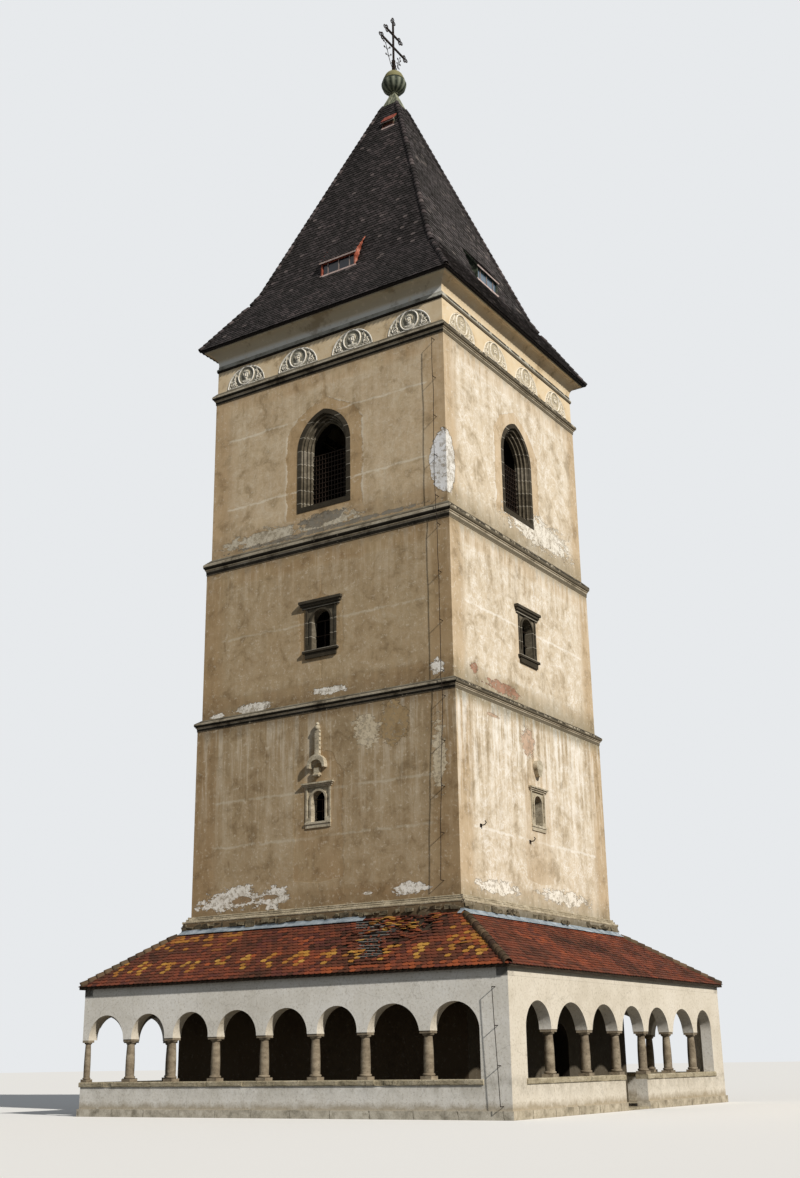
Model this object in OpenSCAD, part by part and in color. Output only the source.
// Bell tower of square plan, standing in a low arcaded walk under a lean-to tiled roof.
// The front of the tower looks along -Y. Heights are taken from the ground, in millimetres.

/* [Arcade walk] */
// Half the outer width of the arcade walls
arcade_half = 6930; // [6880:10:7000]
// Thickness of the arcade walls and parapets
arcade_t = 340; // [320:10:360]
// Width of the corner piers along the wall
pier_w = 815; // [780:5:840]
// Width of the slim corner column's capital and base
corner_column_w = 230; // [210:10:250]
// Widths of the bays on the front and back, from corner to corner, scaled to the wall
front_bays = [1708, 1532, 1555, 1653, 1656, 1547, 1852, 2357];
// Widths of the bays on the right side, from the near corner to the far one
right_bays = [2312, 2048, 1884, 1763, 1810, 1908, 2135];
// Number of columns on the left side, equally spaced
left_columns_n = 7; // [6:1:8]
// Bay of the right side that is left open as the doorway, counted from the near corner
door_bay = 3; // [2:1:4]
// Height of the plinth at the foot of the parapets
plinth_h = 198; // [150:5:240]
// How far the plinth stands proud of the parapets
plinth_out = 45; // [30:5:60]
// Height of the parapets below their coping
parapet_h = 775; // [740:5:800]
// Thickness of the coping slabs
coping_h = 130; // [100:5:150]
// How far the coping slabs stand proud of the parapets
coping_out = 42; // [25:1:60]
// Height at which the arches spring
springing_z = 2030; // [1980:10:2080]
// Height of the arches above their springing
arch_rise = 665; // [640:5:680]
// Height of the top of the arcade walls
arcade_wall_z = 3230; // [3150:10:3260]

/* [Columns] */
// Width of the square base and abacus of a column
abacus_w = 310; // [290:5:330]
// Thickness of the abacus
abacus_h = 62; // [50:1:75]
// Diameter of the shaft at its widest
shaft_d = 246; // [220:2:260]
// Diameter of the shaft under its capital
shaft_top_d = 204; // [190:2:214]
// Height of the square base block
base_block_h = 78; // [60:2:90]
// Height of the round base moulding
base_roll_h = 66; // [50:2:80]
// Height of the round part of the capital
echinus_h = 56; // [44:1:66]

/* [Lower roof] */
// How far the eaves of the lower roof reach past the arcade walls
eaves_out = 185; // [160:5:230]
// Height of the lower roof at its eaves
lower_eaves_z = 3450; // [3420:5:3480]
// Height at which the lower roof meets the tower
lower_head_z = 5010; // [4950:10:5060]
// Upright thickness of the lower roof
lower_roof_t = 120; // [100:5:130]
// How far the eaves board stands back from the eaves
eaves_setback = 65; // [45:5:85]
// Diameter of the hip tiles of the lower roof
lower_hip_d = 190; // [160:5:220]
// Height of the metal flashing against the tower
flashing_h = 92; // [70:2:110]
// Thickness of the metal flashing
flashing_t = 22; // [16:1:30]

/* [Tower walls] */
// Shift of the tower's axis from the middle of the walk, along X
tower_x = -190; // [-250:10:-100]
// Shift of the tower's axis from the middle of the walk, along Y
tower_y = -140; // [-200:10:-60]
// Half the outer width of the base walls
base_half = 4840; // [4800:5:4880]
// Half the outer width of the first storey
storey1_half = 4670; // [4640:5:4690]
// Half the outer width of the second storey
storey2_half = 4575; // [4540:5:4600]
// Half the outer width of the third storey
storey3_half = 4475; // [4460:5:4500]
// Half the outer width of the frieze storey
frieze_half = 4450; // [4430:5:4455]
// Half the clear width of the ground room
base_inner = 3070; // [3000:10:3120]
// Width of the inner ledge left at each storey
inner_ledge = 100; // [80:5:120]
// Clear width of the tower's doorway
tower_door_w = 1100; // [1000:20:1200]
// Clear height of the tower's doorway up to its springing
tower_door_spring_z = 1750; // [1650:10:1850]

/* [Levels] */
// Top of the base walls, under the weathered ledge
ledge_z = 5290; // [5240:5:5320]
// Height of the weathered ledge
ledge_h = 195; // [170:5:220]
// Underside of the lower cornice
cornice1_z = 11130; // [11050:10:11200]
// Height of the lower cornice
cornice1_h = 370; // [350:10:390]
// Underside of the middle cornice
cornice2_z = 16300; // [16200:10:16350]
// Height of the middle cornice
cornice2_h = 540; // [520:10:560]
// Underside of the upper cornice
cornice3_z = 22430; // [22380:10:22500]
// Height of the upper cornice
cornice3_h = 435; // [420:5:450]
// Height of the frieze wall
frieze_h = 775; // [750:5:800]
// Height of the string course over the frieze
string_h = 240; // [220:5:260]
// Height of the coved eaves
cove_h = 510; // [480:10:540]
// Thickness of the floors
floor_t = 300; // [240:10:340]

/* [Mouldings] */
// Projection of the lower cornice from the wall below it
cornice1_out = 88; // [75:1:100]
// Projection of the middle cornice from the wall below it
cornice2_out = 95; // [80:1:110]
// Projection of the upper cornice from the wall below it
cornice3_out = 112; // [95:1:125]
// Projection of the string course from the frieze
string_out = 42; // [30:1:55]
// Projection of the coved eaves from the frieze
cove_out = 350; // [320:5:380]

/* [Main roof] */
// Half the width of the main roof at its eaves
main_eaves_half = 4900; // [4870:5:4930]
// Thickness of the main roof's edge
main_edge_t = 60; // [45:5:80]
// Half the width of the main roof where its slope breaks
break_half = 3520; // [3440:10:3600]
// Height of the break above the eaves
break_rise = 2200; // [2120:10:2280]
// Rise of the upper slope for each unit of its run
upper_pitch = 2.73; // [2.68:0.01:2.76]
// Half the width of the roof where it is cut off under the finial
roof_tip_half = 60; // [50:5:80]
// Thickness of the roof, measured upright on the upper slope
roof_skin = 520; // [440:10:560]
// Diameter of the hip tiles of the main roof
main_hip_d = 150; // [130:5:180]

/* [Windows] */
// Outer width of the belfry window frames
belfry_w = 2040; // [1980:10:2100]
// Clear width of the belfry windows
belfry_clear_w = 1320; // [1260:10:1380]
// Underside of the belfry window frames
belfry_z = 17680; // [17620:10:17740]
// Springing of the belfry window arches
belfry_spring_z = 19800; // [19750:10:19850]
// Rise of the pointed outer arch of the belfry windows
belfry_rise = 1270; // [1220:10:1320]
// Depth of the belfry window frames
belfry_depth = 400; // [360:10:440]
// Outer width of the middle window frames
middle_w = 1140; // [1100:10:1180]
// Clear width of the middle windows
middle_clear_w = 700; // [660:10:740]
// Underside of the middle window sills
middle_z = 12820; // [12760:10:12880]
// Height of the middle windows from sill to crown
middle_clear_h = 1250; // [1200:10:1290]
// Outer width of the lower window frames
lower_w = 880; // [840:10:920]
// Clear width of the lower windows
lower_clear_w = 480; // [450:10:520]
// Underside of the lower window sills
lower_z = 7710; // [7650:10:7760]
// Height of the lower windows from sill to crown
lower_clear_h = 890; // [850:10:930]
// Depth of the small window frames
small_frame_depth = 260; // [220:10:300]

/* [Finial] */
// Height of the widest part of the bulb above the ground
bulb_z = 36575; // [36560:5:36600]
// Diameter of the bulb
bulb_d = 920; // [880:10:960]
// Overall height of the cross
cross_h = 2540; // [2450:10:2600]
// Length of the upper bar of the cross
upper_bar_l = 1290; // [1200:10:1340]
// Length of the lower bar of the cross
lower_bar_l = 1960; // [1880:10:2040]
// Thickness of the wrought bars
bar_t = 62; // [52:2:70]

/* [Hidden] */
$fn = 96;
// Clearance left in a seat between two pieces
seat = 0.3;
// Extra length of a cutting shape past the face that it cuts
past = 10;
// Gap left in a mortar joint between two like slabs
slab_gap = 4;

// Colours of the materials
lime_white = "#d9d5cb";
coping_stone = "#a89a80";
column_stone = "#b59d77";
ochre_plaster = "#b39c78";
dark_stone = "#5d5850";
frame_stone = "#8e8a7d";
lower_tile = "#9a5238";
main_tile = "#4a3a36";
hip_tile = "#5b4b40";
zinc = "#9aa4ad";
boards = "#4b4037";
wrought_iron = "#2a2826";
copper_sheet = "#6d7862";

coping_z = parapet_h + coping_h;
arcade_inner = arcade_half - arcade_t;
lower_eaves_half = arcade_half + eaves_out;
eaves_board_half = lower_eaves_half - eaves_setback;
door_places = column_places(right_bays);
door_left = door_places[door_bay - 1] + abacus_w / 2;
door_right = door_places[door_bay] - abacus_w / 2;
door_middle = (door_left + door_right) / 2;
storey1_z = ledge_z + ledge_h;
storey2_z = cornice1_z + cornice1_h;
storey3_z = cornice2_z + cornice2_h;
frieze_z = cornice3_z + cornice3_h;
string_z = frieze_z + frieze_h;
cove_z = string_z + string_h;
main_eaves_z = cove_z + cove_h;
storey1_inner = base_inner + inner_ledge;
storey2_inner = storey1_inner + inner_ledge;
storey3_inner = storey2_inner + inner_ledge;
frieze_inner = storey3_inner + inner_ledge;
break_z = main_eaves_z + main_edge_t + break_rise;
roof_tip_z = break_z + (break_half - roof_tip_half) * upper_pitch;
cross_z = bulb_z + 545;

// Sum of the first n members of a list
function total(list, n) = n <= 0 ? 0 : list[n - 1] + total(list, n - 1);
// Column centres along a side, measured from the middle of the side
function column_places(bays) = [
    for (n = [1:len(bays) - 1]) (2 * total(bays, n) / total(bays, len(bays)) - 1) * arcade_half
];
function even_places(n) = [for (k = [1:n]) (2 * k / (n + 1) - 1) * (arcade_half - corner_column_w / 2)];
front_places = column_places(front_bays);
left_places = even_places(left_columns_n);
// Clear openings between supports: each is [start, end] along the side
function openings(places, first, last) = [
    for (n = [0:len(places)]) [
        n == 0 ? first : places[n - 1] + abacus_w / 2,
        n == len(places) ? last : places[n] - abacus_w / 2
    ]
];
corner_edge = arcade_half - corner_column_w;
pier_edge = arcade_half - pier_w;
front_openings = openings(front_places, -corner_edge, pier_edge);
right_openings = openings(door_places, -pier_edge, pier_edge);
left_openings = openings(left_places, -corner_edge, corner_edge);

// A moulded ring of square plan: the outline is a list of [half width, height]
module square_ring(outline) {
    rotate([0, 0, 45]) rotate_extrude($fn = 4) polygon([for (p = outline) [p[0] * sqrt(2), p[1]]]);
}

// The tower's own axis
module on_tower() {
    translate([tower_x, tower_y, 0]) children();
}

// Places a child made for the front on the side with number n: front, right, back, left
module on_side(n) {
    rotate([0, 0, 90 * n]) children();
}

// A flat shape drawn in the plane of the front, from depth y0 back to depth y1
module upright(y0, y1) {
    translate([0, y1, 0]) rotate([90, 0, 0]) linear_extrude(y1 - y0) children();
}

// Round arch over an opening, stilted or flattened to the given rise
module arch_outline(x0, x1, foot_z, spring_z, rise) {
    half = (x1 - x0) / 2;
    radius = half <= rise ? half : (half * half + rise * rise) / (2 * rise);
    centre_z = spring_z + rise - radius;
    curve_z = max(spring_z, centre_z);
    translate([x0, foot_z]) square([x1 - x0, curve_z - foot_z]);
    intersection() {
        translate([(x0 + x1) / 2, centre_z]) circle(radius);
        translate([x0 - past, curve_z]) square([x1 - x0 + 2 * past, rise + past]);
    }
}

// Pointed arch: two arcs whose centres lie on the springing line
module pointed_outline(half, foot_z, spring_z, radius) {
    offset_x = radius - half;
    translate([-half, foot_z]) square([2 * half, spring_z - foot_z]);
    intersection() {
        translate([offset_x, spring_z]) circle(radius, $fn = 240);
        translate([-offset_x, spring_z]) circle(radius, $fn = 240);
        translate([-half - past, spring_z]) square([2 * (half + past), radius]);
    }
}

// Parapet between two points of a side, with its plinth
module parapet(x0, x1) {
    translate([x0, -arcade_half, 0]) cube([x1 - x0, arcade_t, parapet_h]);
    translate([x0, -arcade_half - plinth_out, 0]) cube([x1 - x0, arcade_t + plinth_out, plinth_h]);
}

// Coping slab between two points, its nose reaching past the opening by the given lap
module coping(x0, x1, lap0, lap1) {
    translate([x0, -arcade_half - coping_out, parapet_h])
        cube([x1 - x0, arcade_t + coping_out, coping_h]);
    translate([x0 - lap0, -arcade_half - coping_out, parapet_h])
        cube([x1 - x0 + lap0 + lap1, coping_out - seat, coping_h]);
}

module arcade_parapets() {
    color(lime_white) {
        parapet(-arcade_half, pier_edge);
        mirror([0, 1, 0]) parapet(-arcade_half, pier_edge);
        on_side(3) parapet(-arcade_inner, arcade_inner);
        on_side(3) translate([-arcade_half - plinth_out, -arcade_half - plinth_out, 0])
            cube([2 * (arcade_half + plinth_out), plinth_out, plinth_h]);
        on_side(1) parapet(-pier_edge, door_left);
        on_side(1) parapet(door_right, pier_edge);
    }
}

module arcade_copings() {
    lap = 70;
    color(coping_stone) {
        coping(-arcade_half, pier_edge, coping_out, lap);
        mirror([0, 1, 0]) coping(-arcade_half, pier_edge, coping_out, lap);
        on_side(3) coping(-arcade_inner + slab_gap, arcade_inner - slab_gap, 0, 0);
        on_side(1) coping(-pier_edge, door_left, lap, 0);
        on_side(1) coping(door_right, pier_edge, 0, lap);
    }
}

module pier_leg(x0, x1) {
    translate([x0, -arcade_half, 0]) cube([x1 - x0, arcade_t, springing_z]);
    translate([x0, -arcade_half - plinth_out, 0]) cube([x1 - x0 + plinth_out, arcade_t, plinth_h]);
}

// Corner piers at the two right-hand corners
module corner_piers() {
    color(lime_white) for (flip = [0, 1]) mirror([0, flip, 0]) {
        pier_leg(pier_edge, arcade_half);
        on_side(1) mirror([1, 0, 0]) pier_leg(pier_edge, arcade_half);
    }
}

// A column from the coping to the springing: base, swelling shaft and capital
module column(width, low_d, top_d) {
    swell = width / abacus_w;
    shaft_z = coping_z + base_block_h + base_roll_h * swell;
    neck_z = springing_z - abacus_h - echinus_h * swell;
    roll_r = base_roll_h * swell / 2;
    steps = 8;
    translate([-width / 2, -width / 2, coping_z + seat]) cube([width, width, base_block_h]);
    translate([-width / 2, -width / 2, springing_z - abacus_h]) cube([width, width, abacus_h - seat]);
    rotate_extrude() polygon(concat(
        [[0, coping_z + base_block_h], [width / 2 - roll_r, coping_z + base_block_h]],
        [for (k = [1:6]) let (a = -90 + 30 * k)
            [width / 2 - roll_r + roll_r * cos(a), coping_z + base_block_h + roll_r + roll_r * sin(a)]],
        [for (k = [0:steps]) let (t = k / steps)
            [(low_d * (1 - t) + top_d * t) / 2 + (low_d - top_d) / 4 * sin(180 * t), shaft_z + t * (neck_z - shaft_z)]],
        [for (k = [0:4]) let (a = 22.5 * k)
            [top_d / 2 + 8 + (width / 2 - top_d / 2 - 14) * sin(a), springing_z - abacus_h - echinus_h * swell * cos(a)]],
        [[0, springing_z - abacus_h]]
    ));
}

module column_row(places) {
    for (x = places) translate([x, -arcade_half + arcade_t / 2, 0]) column(abacus_w, shaft_d, shaft_top_d);
}

module corner_column() {
    inset = arcade_half - corner_column_w / 2;
    translate([-inset, -inset, 0])
        column(corner_column_w, shaft_d * corner_column_w / abacus_w, shaft_top_d * corner_column_w / abacus_w);
}

module front_columns() {
    color(column_stone) {
        column_row(front_places);
        corner_column();
    }
}

module back_columns() {
    color(column_stone) mirror([0, 1, 0]) {
        column_row(front_places);
        corner_column();
    }
}

module right_columns() {
    color(column_stone) on_side(1) column_row(door_places);
}

module left_columns() {
    color(column_stone) on_side(3) column_row(left_places);
}

// Arcade wall over the springing, pierced by its arches
module arcade_wall(x0, x1, arches) {
    upright(-arcade_half, -arcade_inner) difference() {
        translate([x0, springing_z]) square([x1 - x0, arcade_wall_z - springing_z]);
        for (a = arches) arch_outline(a[0], a[1], springing_z - past, springing_z, arch_rise);
    }
}

module front_arcade_wall() {
    end_arch = left_openings[left_columns_n];
    color(lime_white) difference() {
        arcade_wall(-arcade_half, arcade_half, front_openings);
        on_side(3) upright(-arcade_half - past, -corner_edge)
            arch_outline(end_arch[0], end_arch[1], springing_z - past, springing_z, arch_rise);
    }
}

module back_arcade_wall() {
    color(lime_white) mirror([0, 1, 0]) front_arcade_wall();
}

module right_arcade_wall() {
    color(lime_white) on_side(1) arcade_wall(-arcade_inner, arcade_inner, right_openings);
}

module left_arcade_wall() {
    color(lime_white) on_side(3) arcade_wall(-arcade_inner, arcade_inner, left_openings);
}

// Stone floors of the walk and of the ground room
module stone_floors() {
    paving_t = 60;
    walk_left = tower_x - base_half - seat;
    walk_right = tower_x + base_half + seat;
    walk_front = tower_y - base_half - seat;
    walk_back = tower_y + base_half + seat;
    inner = arcade_inner - seat;
    room = base_inner - seat;
    color(coping_stone) {
        translate([-inner, -inner, 0]) cube([2 * inner, walk_front + inner, paving_t]);
        translate([-inner, walk_back, 0]) cube([2 * inner, inner - walk_back, paving_t]);
        translate([-inner, walk_front + slab_gap, 0])
            cube([walk_left + inner, walk_back - walk_front - 2 * slab_gap, paving_t]);
        translate([walk_right, walk_front + slab_gap, 0])
            cube([inner - walk_right, walk_back - walk_front - 2 * slab_gap, paving_t]);
        on_side(1) translate([door_left + seat, -arcade_half, 0])
            cube([door_right - door_left - 2 * seat, arcade_t - seat, paving_t]);
        on_tower() translate([-room, -room, 0]) cube([2 * room, 2 * room, paving_t]);
    }
}

// Board that closes the eaves of the lower roof
module eaves_board() {
    widest_run = lower_eaves_half - base_half + max(abs(tower_x), abs(tower_y));
    flattest = (lower_head_z - lower_eaves_z) / widest_run;
    board_top = lower_eaves_z - lower_roof_t + eaves_setback * flattest - seat;
    chamfer_run = 60;
    chamfer_rise = 45;
    color(boards) square_ring([
        [arcade_inner, arcade_wall_z + seat], [eaves_board_half - chamfer_run, arcade_wall_z + seat],
        [eaves_board_half, arcade_wall_z + chamfer_rise], [eaves_board_half, board_top],
        [arcade_inner, board_top]
    ]);
}

function corner(n) = [[-1, -1], [1, -1], [1, 1], [-1, 1]][n % 4];
function lower_outer(n, z) = [corner(n)[0] * lower_eaves_half, corner(n)[1] * lower_eaves_half, z];
function lower_inner(n, z) = [
    tower_x + corner(n)[0] * (base_half + seat), tower_y + corner(n)[1] * (base_half + seat), z
];

// One slope of the lean-to roof, mitred at its hips
module lower_slope(n) {
    polyhedron(
        points = [
            lower_outer(n, lower_eaves_z - lower_roof_t), lower_outer(n + 1, lower_eaves_z - lower_roof_t),
            lower_inner(n + 1, lower_head_z - lower_roof_t), lower_inner(n, lower_head_z - lower_roof_t),
            lower_outer(n, lower_eaves_z), lower_outer(n + 1, lower_eaves_z),
            lower_inner(n + 1, lower_head_z), lower_inner(n, lower_head_z)
        ],
        faces = [[0, 1, 2, 3], [7, 6, 5, 4], [0, 4, 5, 1], [1, 5, 6, 2], [2, 6, 7, 3], [3, 7, 4, 0]]
    );
}

module front_lower_roof() {
    color(lower_tile) lower_slope(0);
}

module right_lower_roof() {
    color(lower_tile) lower_slope(1);
}

module back_lower_roof() {
    color(lower_tile) lower_slope(2);
}

module left_lower_roof() {
    color(lower_tile) lower_slope(3);
}

// A round run of hip tiles between two points, kept clear of each end, before it is cut to its bed
module hip_run(low, high, diameter, low_clear, high_clear) {
    run = high - low;
    length = norm(run);
    translate(low) rotate([0, acos(run[2] / length), atan2(run[1], run[0])])
        translate([0, 0, low_clear]) cylinder(d = diameter, h = length - low_clear - high_clear);
}

module lower_hip_tiles() {
    low_inset = 115;
    high_inset = 75;
    color(hip_tile) difference() {
        for (n = [0:3])
            hip_run(lower_outer(n, lower_eaves_z), lower_inner(n, lower_head_z), lower_hip_d, low_inset, high_inset);
        translate([0, 0, seat]) for (n = [0:3]) lower_slope(n);
    }
}

module roof_flashing() {
    inner = base_half + seat;
    color(zinc) on_tower() square_ring([
        [inner, lower_head_z + seat], [inner + flashing_t, lower_head_z + seat],
        [inner + flashing_t, lower_head_z + flashing_h], [inner, lower_head_z + flashing_h]
    ]);
}

// Two opposite walls of a storey, with the child as the outline of an opening in each
module front_back_walls(half, inner, z0, z1) {
    on_tower() for (n = [0, 2]) on_side(n) difference() {
        translate([-half, -half, z0]) cube([2 * half, half - inner, z1 - z0]);
        upright(-half - past, -inner + past) children();
    }
}

module side_walls(half, inner, z0, z1) {
    on_tower() for (n = [1, 3]) on_side(n) difference() {
        translate([-inner, -half, z0]) cube([2 * inner, half - inner, z1 - z0]);
        upright(-half - past, -inner + past) children();
    }
}

module base_front_back_walls() {
    color(ochre_plaster) on_tower() for (n = [0, 2]) on_side(n)
        translate([-base_half, -base_half, 0]) cube([2 * base_half, base_half - base_inner, ledge_z]);
}

module base_side_walls() {
    middle = door_middle - tower_y;
    color(ochre_plaster) on_tower() {
        on_side(1) difference() {
            translate([-base_inner, -base_half, 0]) cube([2 * base_inner, base_half - base_inner, ledge_z]);
            upright(-base_half - past, -base_inner + past)
                arch_outline(middle - tower_door_w / 2, middle + tower_door_w / 2, -past,
                    tower_door_spring_z, tower_door_w / 2);
        }
        on_side(3) translate([-base_inner, -base_half, 0])
            cube([2 * base_inner, base_half - base_inner, ledge_z]);
    }
}

module weathered_ledge() {
    color(coping_stone) on_tower() square_ring([
        [storey1_inner - inner_ledge, ledge_z], [base_half, ledge_z],
        [storey1_half + 28, storey1_z], [storey1_inner - inner_ledge, storey1_z]
    ]);
}

module lower_window_hole() {
    translate([-lower_w / 2, lower_z]) square([lower_w, lower_frame_h]);
}

module middle_window_hole() {
    translate([-middle_w / 2, middle_z]) square([middle_w, middle_frame_h]);
}

module belfry_window_hole() {
    pointed_outline(belfry_w / 2, belfry_z, belfry_spring_z, belfry_radius);
}

module storey1_front_back_walls() {
    color(ochre_plaster) front_back_walls(storey1_half, storey1_inner, storey1_z, cornice1_z)
        lower_window_hole();
}

module storey1_side_walls() {
    color(ochre_plaster) side_walls(storey1_half, storey1_inner, storey1_z, cornice1_z)
        lower_window_hole();
}

module storey2_front_back_walls() {
    color(ochre_plaster) front_back_walls(storey2_half, storey2_inner, storey2_z, cornice2_z)
        middle_window_hole();
}

module storey2_side_walls() {
    color(ochre_plaster) side_walls(storey2_half, storey2_inner, storey2_z, cornice2_z)
        middle_window_hole();
}

module storey3_front_back_walls() {
    color(ochre_plaster) front_back_walls(storey3_half, storey3_inner, storey3_z, cornice3_z)
        belfry_window_hole();
}

module storey3_side_walls() {
    color(ochre_plaster) side_walls(storey3_half, storey3_inner, storey3_z, cornice3_z)
        belfry_window_hole();
}

// Quarter hollow between two points of a moulding, from upright at its foot to level at its head
function hollow(foot, head, steps) = [
    for (k = [0:steps]) let (a = 90 * k / steps)
        [foot[0] + (head[0] - foot[0]) * (1 - cos(a)), foot[1] + (head[1] - foot[1]) * sin(a)]
];
// Quarter round, from level at its foot to upright at its head
function quarter_round(foot, head, steps) = [
    for (k = [0:steps]) let (a = 90 * k / steps)
        [foot[0] + (head[0] - foot[0]) * sin(a), foot[1] + (head[1] - foot[1]) * (1 - cos(a))]
];

// A cornice: bed hollow, fillet, round, fillet and a weathered top
module cornice(inner, wall_half, top_half, z, h, out) {
    color(dark_stone) on_tower() square_ring(concat(
        [[inner, z], [wall_half, z], [wall_half + out * 0.15, z]],
        hollow([wall_half + out * 0.15, z + h * 0.06], [wall_half + out * 0.45, z + h * 0.32], 4),
        [[wall_half + out * 0.55, z + h * 0.32], [wall_half + out * 0.55, z + h * 0.4]],
        quarter_round([wall_half + out * 0.6, z + h * 0.4], [wall_half + out, z + h * 0.58], 4),
        [[wall_half + out, z + h * 0.66], [top_half + 12, z + h], [inner, z + h]]
    ));
}

module lower_cornice() {
    cornice(storey1_inner, storey1_half, storey2_half, cornice1_z, cornice1_h, cornice1_out);
}

module middle_cornice() {
    cornice(storey2_inner, storey2_half, storey3_half, cornice2_z, cornice2_h, cornice2_out);
}

module upper_cornice() {
    cornice(storey3_inner, storey3_half, frieze_half, cornice3_z, cornice3_h, cornice3_out);
}

// Frieze storey with four blind round-headed fields on each side
module frieze_walls() {
    field_n = 4;
    field_w = 1640;
    field_gap = 520;
    field_depth = 15;
    field_h = 735;
    pitch = field_w + field_gap;
    color(ochre_plaster) on_tower() difference() {
        translate([-frieze_half, -frieze_half, frieze_z]) cube([2 * frieze_half, 2 * frieze_half, frieze_h]);
        translate([-frieze_inner, -frieze_inner, frieze_z - past])
            cube([2 * frieze_inner, 2 * frieze_inner, frieze_h + 2 * past]);
        for (n = [0:3]) on_side(n) upright(-frieze_half - past, -frieze_half + field_depth)
            for (k = [0:field_n - 1]) let (x = (k - (field_n - 1) / 2) * pitch)
                arch_outline(x - field_w / 2, x + field_w / 2, frieze_z - past, frieze_z, field_h);
    }
}

module string_course() {
    top = cove_z;
    color(dark_stone) on_tower() square_ring(concat(
        [[frieze_inner, string_z], [frieze_half + string_out * 0.3, string_z]],
        quarter_round([frieze_half + string_out * 0.4, string_z], [frieze_half + string_out, string_z + string_h * 0.34], 4),
        [[frieze_half + string_out, string_z + string_h * 0.5], [frieze_half, string_z + string_h * 0.7],
         [frieze_half, top], [frieze_inner, top]]
    ));
}

module coved_eaves() {
    color(ochre_plaster) on_tower() square_ring(concat(
        [[frieze_inner, cove_z], [frieze_half - 8, cove_z]],
        hollow([frieze_half - 8, cove_z + 20], [frieze_half + cove_out - 30, main_eaves_z - 50], 10),
        [[frieze_half + cove_out, main_eaves_z - 50], [frieze_half + cove_out, main_eaves_z],
         [frieze_inner, main_eaves_z]]
    ));
}

lower_pitch = break_rise / (main_eaves_half - break_half);
upper_axis_z = break_z + break_half * upper_pitch;
inner_top_z = upper_axis_z - roof_skin;
// Where the inner faces of the two slopes meet
inner_rise = roof_skin * 0.66;
inner_break_half = (inner_top_z - main_eaves_z - main_edge_t - main_eaves_half * lower_pitch + inner_rise)
    / (upper_pitch - lower_pitch);
inner_foot_half = main_eaves_half + (main_edge_t - inner_rise) / lower_pitch;
// Half widths between which the break of the slope is softened
soften = 160;
break_foot = break_half + soften;
break_head = break_half - soften / 2;
break_foot_z = break_z - soften * lower_pitch;
break_head_z = break_z + soften / 2 * upper_pitch;

// Hollow pyramid roof with bell-cast eaves
module main_roof() {
    color(main_tile) on_tower() square_ring([
        [inner_foot_half, main_eaves_z], [main_eaves_half, main_eaves_z],
        [main_eaves_half, main_eaves_z + main_edge_t],
        [break_foot, break_foot_z],
        [break_head, break_head_z],
        [roof_tip_half, roof_tip_z], [0, roof_tip_z],
        [0, inner_top_z],
        [inner_break_half, inner_top_z - inner_break_half * upper_pitch]
    ]);
}

module main_hip_tiles() {
    inset = 70;
    bend_gap = 8;
    collar_run = 230;
    eaves = [1, 1, 0] * main_eaves_half + [0, 0, main_eaves_z + main_edge_t];
    foot = [1, 1, 0] * break_foot + [0, 0, break_foot_z];
    head = [1, 1, 0] * break_head + [0, 0, break_head_z];
    tip = [1, 1, 0] * (roof_tip_half + collar_run) + [0, 0, roof_tip_z - collar_run * upper_pitch];
    color(hip_tile) difference() {
        on_tower() for (n = [0:3]) on_side(n) {
            hip_run(eaves, foot, main_hip_d, inset, bend_gap);
            hip_run(foot, head, main_hip_d, bend_gap, bend_gap);
            hip_run(head, tip, main_hip_d, bend_gap, 0);
        }
        translate([0, 0, seat]) main_roof();
    }
}

// Floors carried on the ledges inside the walls
module upper_floors() {
    color(boards) on_tower() for (f = [
        [storey1_inner, storey1_z], [storey2_inner, storey2_z], [storey3_inner, storey3_z]
    ]) let (half = f[0] - seat)
        translate([-half, -half, f[1] + seat]) cube([2 * half, 2 * half, floor_t]);
}

belfry_radius = (belfry_w * belfry_w / 4 + belfry_rise * belfry_rise) / belfry_w;

// A round roll bent along the inner edge of a pointed arch, between two jambs
module pointed_roll(half, foot_z, spring_z, radius, roll_d, y) {
    centre_x = radius - half;
    sweep = acos(centre_x / radius);
    translate([0, y, 0]) for (side = [0, 1]) mirror([side, 0, 0]) {
        translate([half, 0, foot_z]) cylinder(d = roll_d, h = spring_z - foot_z);
        translate([-centre_x, 0, spring_z]) rotate([90, 0, 0])
            rotate_extrude(angle = sweep) translate([radius, 0]) circle(d = roll_d);
    }
}

// A pointed frame: flat face, then stepped hollows with a roll on each inner edge
module belfry_frame(half) {
    orders = 3;
    face_w = 150;
    splay_w = belfry_w / 2 - belfry_clear_w / 2 - face_w;
    step_w = splay_w / orders;
    step_d = belfry_depth / (orders + 1);
    roll_d = 66;
    proud = 14;
    sill_h = 170;
    difference() {
        upright(-half - proud, -half + belfry_depth)
            pointed_outline(belfry_w / 2 - seat, belfry_z + seat, belfry_spring_z, belfry_radius - seat);
        for (k = [0:orders]) let (cut = face_w + step_w * k)
            upright(-half - proud - past, k == orders ? -half + belfry_depth + past : -half + step_d * (k + 1))
                pointed_outline(belfry_w / 2 - cut, belfry_z + sill_h, belfry_spring_z, belfry_radius - cut);
    }
    for (k = [1:orders]) let (cut = face_w + step_w * k - roll_d / 4)
        pointed_roll(belfry_w / 2 - cut, belfry_z + sill_h - 5, belfry_spring_z, belfry_radius - cut, roll_d,
            -half + step_d * k);
}

module belfry_window_frames() {
    color(frame_stone) on_tower() for (n = [0:3]) on_side(n) belfry_frame(storey3_half);
}

// Heights of sill and head, below and above the clear height of the small windows
middle_sill_h = 245;
middle_head_h = 225;
middle_frame_h = middle_sill_h + middle_clear_h + middle_head_h;
lower_sill_h = 170;
lower_head_h = 130;
lower_frame_h = lower_sill_h + lower_clear_h + lower_head_h;

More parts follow.
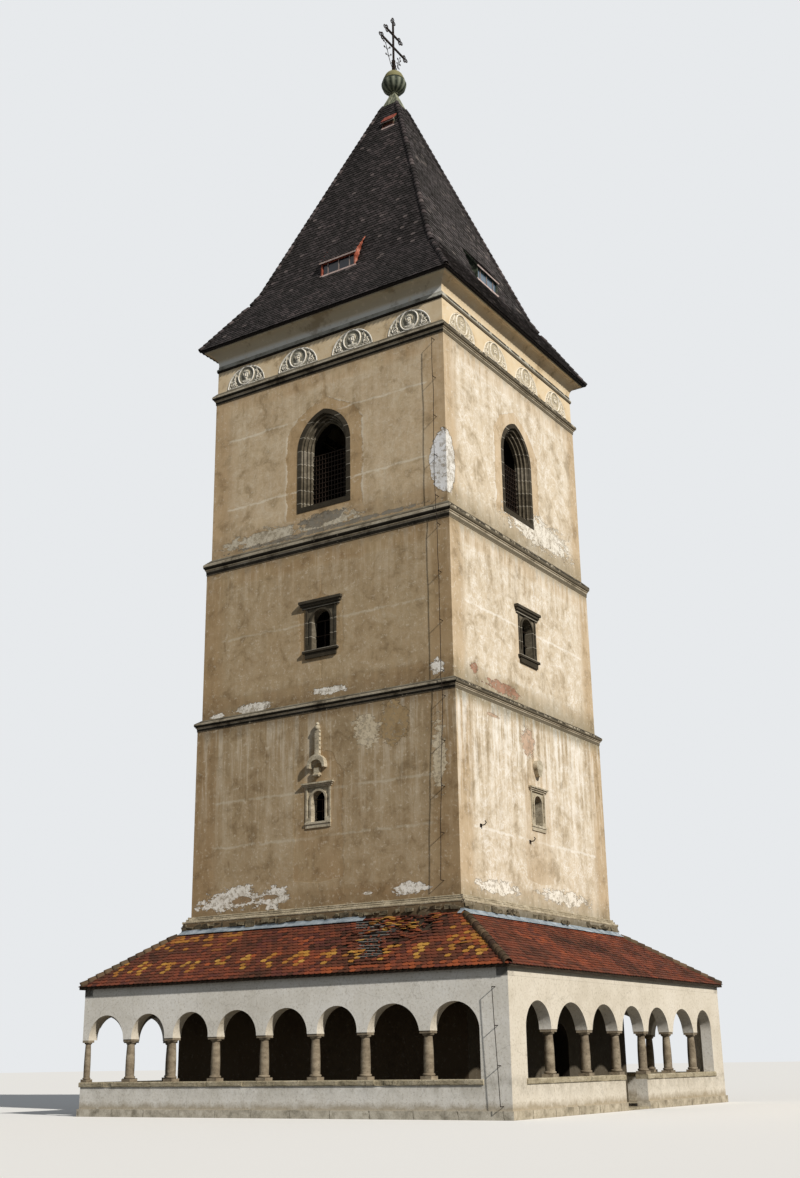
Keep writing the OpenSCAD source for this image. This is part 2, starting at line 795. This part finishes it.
// Small round-headed stone window: a frame with a sunk field round the arch, a sill slab over
// an apron, and a hood of fillets. Sill and hood are [width, projection, height].
module small_frame(face, width, clear_w, foot_z, sill_h, clear_h, frame_h, sill, hood, hood_drop) {
    border = (width - clear_w) / 2 * 0.3;
    proud = 28;
    sunk = 42;
    apron_share = 0.86;
    fillets = 3;
    sill_z = foot_z + sill_h;
    spring_z = sill_z + clear_h - clear_w / 2;
    hood_z = foot_z + frame_h - hood_drop;
    difference() {
        union() {
            difference() {
                upright(-face - proud, -face + small_frame_depth)
                    translate([-width / 2 + seat, foot_z + seat]) square([width - 2 * seat, frame_h - 2 * seat]);
                upright(-face - proud - past, -face - proud + sunk) difference() {
                    translate([-width / 2 + border, sill_z + clear_h * 0.14])
                        square([width - 2 * border, clear_h]);
                    arch_outline(-clear_w / 2 - border, clear_w / 2 + border, foot_z, spring_z, clear_w / 2 + border);
                }
            }
            translate([-sill[0] / 2, -face - sill[1], sill_z - sill[2]]) cube([sill[0], sill[1] - seat, sill[2]]);
            translate([-sill[0] * apron_share / 2, -face - sill[1] * 0.6, foot_z + seat])
                cube([sill[0] * apron_share, sill[1] * 0.6 - seat, sill_h - sill[2]]);
            for (k = [1:fillets]) let (reach = hood[1] * k / fillets, half = hood[0] / 2 - hood[1] + reach)
                translate([-half, -face - reach, hood_z + hood[2] * (k - 1) / fillets])
                    cube([2 * half, reach - seat, hood[2] / fillets + (k < fillets ? 1 : 0)]);
        }
        upright(-face - hood[1] - past, -face + small_frame_depth + past)
            arch_outline(-clear_w / 2, clear_w / 2, sill_z, spring_z, clear_w / 2);
    }
}

module middle_window_frames() {
    color(frame_stone) on_tower() for (n = [0:3]) on_side(n)
        small_frame(storey2_half, middle_w, middle_clear_w, middle_z, middle_sill_h, middle_clear_h,
            middle_frame_h, [1300, 95, 75], [1560, 130, 250], 150);
}

module lower_window_frames() {
    color(frame_stone) on_tower() for (n = [0:3]) on_side(n)
        small_frame(storey1_half, lower_w, lower_clear_w, lower_z, lower_sill_h, lower_clear_h,
            lower_frame_h, [900, 55, 60], [1120, 110, 135], 20);
}

// Where the carved stones over the lower windows are measured from
over_lower_window = lower_z + lower_frame_h;

// A slim pinnacle with knobs down its edges, over a hollow round canopy and a corbel
module pinnacle_stone() {
    canopy_z = over_lower_window + 600;
    canopy_d = 620;
    canopy_out = 170;
    rim = 75;
    shaft_w = 150;
    shaft_out = 100;
    shaft_z = canopy_z + canopy_d / 2 - 30;
    shaft_h = 780;
    knob_d = 76;
    knob_n = 6;
    tip_d = [170, 110];
    corbel_w = 190;
    corbel_out = 115;
    corbel_h = 290;
    translate([-shaft_w / 2, -shaft_out, shaft_z]) cube([shaft_w, shaft_out, shaft_h]);
    for (k = [0:knob_n - 1], side = [-1, 1])
        translate([side * shaft_w / 2, -shaft_out * 0.6, shaft_z + (k + 0.6) * shaft_h / knob_n]) sphere(d = knob_d);
    translate([0, -shaft_out * 0.6, shaft_z + shaft_h + tip_d[0] * 0.35]) sphere(d = tip_d[0]);
    translate([0, -shaft_out * 0.6, shaft_z + shaft_h + tip_d[0] * 0.35 + tip_d[1]]) sphere(d = tip_d[1]);
    difference() {
        upright(-canopy_out, 0) intersection() {
            translate([0, canopy_z]) circle(d = canopy_d);
            translate([-canopy_d, canopy_z - rim]) square([2 * canopy_d, canopy_d]);
        }
        translate([0, -canopy_out, canopy_z - rim]) sphere(d = canopy_d - 2 * rim);
    }
    translate([-corbel_w / 2, -corbel_out, canopy_z - corbel_h]) cube([corbel_w, corbel_out, corbel_h - rim]);
    translate([-corbel_w / 2, -corbel_out, canopy_z - corbel_h]) rotate([0, 90, 0]) cylinder(d = corbel_w * 0.5, h = corbel_w);
}

// An egg-shaped boss over the hood of the side windows
module boss_stone() {
    upper_d = 400;
    lower_d = 250;
    out = 140;
    upper_z = over_lower_window + 740;
    lower_z_boss = over_lower_window + 560;
    upright(-out, 0) union() {
        translate([0, upper_z]) circle(d = upper_d);
        translate([0, lower_z_boss]) circle(d = lower_d);
        polygon([
            [-upper_d * 0.49, upper_z - 40], [upper_d * 0.49, upper_z - 40],
            [lower_d * 0.49, lower_z_boss - 30], [-lower_d * 0.49, lower_z_boss - 30]
        ]);
    }
}

module carved_fragments() {
    color(frame_stone) on_tower() {
        for (n = [0, 2]) on_side(n) translate([0, -storey1_half - seat, 0]) pinnacle_stone();
        for (n = [1, 3]) on_side(n) translate([0, -storey1_half - seat, 0]) boss_stone();
    }
}

function upper_half_at(z) = (upper_axis_z - z) / upper_pitch;
// Half width of the roof above the foot of its softened break
function roof_half_at(z) = z > break_head_z ? upper_half_at(z)
    : break_foot + (break_head - break_foot) * (z - break_foot_z) / (break_head_z - break_foot_z);

// Lean-to dormer on the upper slope: upright front with a window, cheeks and a flatter roof
module dormer(width, foot_z, front_h, head_z, frame_w) {
    foot_y = -roof_half_at(foot_z) - seat;
    head_y = -upper_half_at(head_z) - seat;
    bent_back = foot_z < break_head_z ? [[-break_head - seat, break_head_z]] : [];
    eaves_out = 50;
    cover_t = 45;
    recess = 60;
    difference() {
        translate([-width / 2, 0, 0]) rotate([90, 0, 90]) linear_extrude(width)
            polygon(concat([[foot_y, foot_z], [foot_y, foot_z + front_h], [head_y, head_z]], bent_back));
        translate([-width / 2 + frame_w, foot_y - past, foot_z + frame_w])
            cube([width - 2 * frame_w, recess + past, front_h - 2 * frame_w]);
    }
    translate([-width / 2 - eaves_out, 0, 0]) rotate([90, 0, 90]) linear_extrude(width + 2 * eaves_out)
        polygon([
            [foot_y - eaves_out, foot_z + front_h - eaves_out], [head_y, head_z],
            [head_y, head_z + cover_t], [foot_y - eaves_out, foot_z + front_h - eaves_out + cover_t]
        ]);
}

// Dormers on the front and right slopes and a small hatch near the top
module dormers() {
    dormer_w = 1420;
    dormer_z = break_z - 70;
    dormer_front_h = 540;
    dormer_head_z = dormer_z + 1360;
    frame_w = 60;
    hatch_w = 500;
    hatch_z = upper_axis_z - 2290;
    hatch_front_h = 300;
    hatch_head_z = hatch_z + 620;
    color(copper_sheet) on_tower() {
        translate([-70, 0, 0]) dormer(dormer_w, dormer_z, dormer_front_h, dormer_head_z, frame_w);
        on_side(1) translate([180, 0, 0]) dormer(dormer_w, dormer_z, dormer_front_h, dormer_head_z, frame_w);
        translate([240, 0, 0]) dormer(hatch_w, hatch_z, hatch_front_h, hatch_head_z, frame_w * 0.7);
    }
}

// A square bar between two points
module bar(from, to, side) {
    run = to - from;
    length = norm(run);
    translate(from) rotate([0, acos(run[2] / length), atan2(run[1], run[0])])
        translate([-side / 2, -side / 2, 0]) cube([side, side, length]);
}

// A thin rod through a row of points, with a clamp at each
module clamped_rod(points, rod_t, clamp_t) {
    for (k = [1:len(points) - 1]) bar(points[k - 1], points[k], rod_t);
    for (p = points) translate(p) cube(clamp_t, center = true);
}

// Lightning conductor down the front face near the corner, and down the arcade wall
module lightning_rod() {
    rod_t = 18;
    stay_t = 24;
    clamp_t = 34;
    across = 0.918;
    lean = 0.05;
    margin = 200;
    off_tower = [0, -90, 0];
    off_arcade = [0, -plinth_out - stay_t, 0];
    cornice_gap = 45;
    // Half width, foot, top and number of stays of each storey, from the top
    storeys = [
        [storey3_half, storey3_z, cornice3_z, 5], [storey2_half, storey2_z, cornice2_z, 4],
        [storey1_half, storey1_z + margin, cornice1_z, 5]
    ];
    roots = [
        for (s = storeys) [
            for (k = [0:s[3] - 1]) let (drop = (s[2] - s[1] - 2 * margin) * k / (s[3] - 1))
                [s[0] * across - (s[0] == storey1_half ? drop * lean : 0), -s[0] - seat, s[2] - margin - drop]
        ]
    ];
    // Where the rod passes in front of the two cornices
    bows = [
        [storey2_half * across, -storey2_half - cornice2_out - cornice_gap, cornice2_z + cornice2_h * 0.62],
        [storey1_half * across, -storey1_half - cornice1_out - cornice_gap, cornice1_z + cornice1_h * 0.62]
    ];
    arcade_roots = [
        for (place = [[405, 0.935], [370, 0.65], [325, 0.36], [285, 0.09]])
            [arcade_half - place[0], -arcade_half - seat, arcade_wall_z * place[1]]
    ];
    color(wrought_iron) {
        on_tower() {
            for (storey_roots = roots, r = storey_roots) bar(r, r + off_tower, stay_t);
            clamped_rod(concat(
                [for (r = roots[0]) r + off_tower], [bows[0]],
                [for (r = roots[1]) r + off_tower], [bows[1]],
                [for (r = roots[2]) r + off_tower]
            ), rod_t, clamp_t);
        }
        for (r = arcade_roots) bar(r, r + off_arcade, stay_t);
        clamped_rod([for (r = arcade_roots) r + off_arcade], rod_t, clamp_t);
    }
}

// Sheet-metal collar and ribbed bulb under the cross
module finial() {
    collar_z = roof_tip_z - 640;
    collar_skin = 26;
    collar_half = upper_half_at(collar_z);
    neck_r = 150;
    bulb_r = bulb_d / 2;
    rim_z = bulb_z + 180;
    rim_r = bulb_r * 0.83;
    dome_angle = 80;
    color(copper_sheet) on_tower() {
        square_ring([
            [collar_half + seat, collar_z], [collar_half + collar_skin + seat, collar_z],
            [roof_tip_half + collar_skin + seat, roof_tip_z + collar_skin], [0, roof_tip_z + collar_skin],
            [0, roof_tip_z + seat], [roof_tip_half + seat, roof_tip_z + seat]
        ]);
        rotate_extrude() polygon(concat(
            [[0, roof_tip_z + seat], [neck_r, roof_tip_z + seat]],
            [for (k = [0:6]) let (a = 90 * k / 6)
                [neck_r + (bulb_r - neck_r) * sin(a), bulb_z - (bulb_z - roof_tip_z - 60) * cos(a)]],
            [[rim_r + 34, rim_z - 60], [rim_r + 34, rim_z - 10], [rim_r, rim_z]],
            [for (k = [1:8]) let (a = dome_angle * k / 8)
                [rim_r * cos(a), rim_z + (cross_z - rim_z) * sin(a) / sin(dome_angle)]],
            [[0, cross_z]]
        ));
    }
}

// Open loop with a round lobe at its end and one on each side, drawn from the end of its bar
module trefoil_outline(lobe_d, length, grow) {
    circles = [[0, length - lobe_d / 2], [-lobe_d * 0.62, lobe_d * 0.75], [lobe_d * 0.62, lobe_d * 0.75]];
    for (c = circles) translate(c) circle(d = lobe_d + grow);
    translate([-lobe_d * 0.3 - grow / 2, lobe_d * 0.2 - grow / 2])
        square([lobe_d * 0.6 + grow, length - lobe_d * 0.7 + grow / 2]);
}

module trefoil_end(lobe_d, length, wire) {
    difference() {
        trefoil_outline(lobe_d, length, wire);
        trefoil_outline(lobe_d, length, -wire);
    }
}

// Double-barred wrought cross, its bars parallel to the right-hand side
module cross() {
    loop_l = 300;
    lobe_d = 130;
    wire = 30;
    grip = 24;
    foot_w = 105;
    foot_h = 560;
    rivet_d = 42;
    rivet_gap = 130;
    brace_r = 120;
    bars = [[cross_h * 0.69, upper_bar_l], [cross_h * 0.46, lower_bar_l]];
    plate_t = bar_t / 2;
    color(wrought_iron) on_tower() translate([0, 0, cross_z + seat]) {
        translate([-bar_t / 2, -bar_t / 2, 0]) cube([bar_t, bar_t, cross_h - loop_l + grip]);
        translate([-foot_w / 2, -foot_w / 2, 0]) cube([foot_w, foot_w, foot_h]);
        for (k = [0:3]) translate([-foot_w / 2 - rivet_d / 4, 0, rivet_gap * (k + 0.7)]) rotate([0, 90, 0])
            cylinder(d = rivet_d, h = foot_w + rivet_d / 2);
        for (b = bars) translate([0, 0, b[0]]) {
            translate([-bar_t / 2, -b[1] / 2 + loop_l - grip, -bar_t / 2])
                cube([bar_t, b[1] - 2 * (loop_l - grip), bar_t]);
            for (s = [0, 1]) mirror([0, s, 0]) {
                translate([-plate_t / 2, b[1] / 2 - loop_l, 0]) rotate([90, 0, 90]) rotate([0, 0, -90])
                    linear_extrude(plate_t) trefoil_end(lobe_d, loop_l, wire);
                for (t = [0, 1]) mirror([0, 0, t]) translate([-plate_t / 2, 0, 0]) rotate([90, 0, 90])
                    linear_extrude(plate_t) difference() {
                        translate([bar_t / 3, bar_t / 3]) square(brace_r);
                        translate([bar_t / 3 + brace_r, bar_t / 3 + brace_r]) circle(brace_r);
                    }
            }
        }
        translate([-plate_t / 2, 0, cross_h - loop_l]) rotate([90, 0, 90]) linear_extrude(plate_t)
            trefoil_end(lobe_d, loop_l, wire);
    }
}

arcade_parapets();
arcade_copings();
corner_piers();
front_columns();
right_columns();
back_columns();
left_columns();
front_arcade_wall();
right_arcade_wall();
back_arcade_wall();
left_arcade_wall();
stone_floors();
eaves_board();
front_lower_roof();
right_lower_roof();
back_lower_roof();
left_lower_roof();
lower_hip_tiles();
roof_flashing();
base_front_back_walls();
base_side_walls();
weathered_ledge();
storey1_front_back_walls();
storey1_side_walls();
lower_cornice();
storey2_front_back_walls();
storey2_side_walls();
middle_cornice();
storey3_front_back_walls();
storey3_side_walls();
upper_cornice();
frieze_walls();
string_course();
coved_eaves();
main_roof();
main_hip_tiles();
upper_floors();
belfry_window_frames();
middle_window_frames();
lower_window_frames();
carved_fragments();
dormers();
lightning_rod();
finial();
cross();
